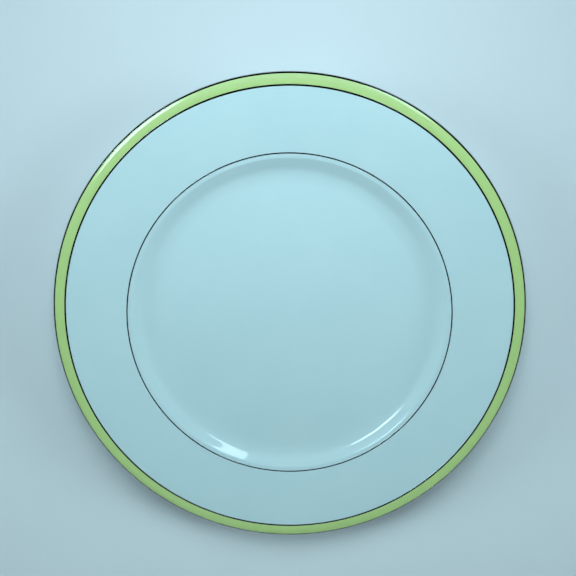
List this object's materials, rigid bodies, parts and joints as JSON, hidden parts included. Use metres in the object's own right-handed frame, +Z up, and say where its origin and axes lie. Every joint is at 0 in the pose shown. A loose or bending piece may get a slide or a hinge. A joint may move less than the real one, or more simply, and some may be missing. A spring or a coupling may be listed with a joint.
{
  "type": "dinner plate",
  "caption": "Round rimmed porcelain dinner plate with a shallow well, a foot ring, a lime green enamel band at the lip and fine platinum lines.",
  "frame": {"origin": "centre of the foot ring's bearing face, on the table", "axes": "+Z up out of the well along the plate's axis; +Y towards the part of the rim farthest from a diner; +X to the diner's right"},
  "size_m": [0.2734, 0.2734, 0.0196],
  "materials": {
    "porcelain_body": "unglazed white bisque, seen at the foot's bearing line",
    "glaze_coat": "glossy clear glaze on white porcelain",
    "underside_glaze": "glossy clear glaze on white porcelain",
    "green_band": "glossy lime green overglaze enamel",
    "edge_line": "fired bright platinum",
    "band_line": "fired bright platinum",
    "well_line": "fired bright platinum",
    "back_mark": "dark grey-green ceramic print"
  },
  "bodies": {
    "root": {"porcelain_body": "porcelain_body", "glaze_coat": "glaze_coat", "underside_glaze": "underside_glaze", "green_band": "green_band", "edge_line": "edge_line", "band_line": "band_line", "well_line": "well_line", "back_mark": "back_mark"}
  },
  "joints": []
}
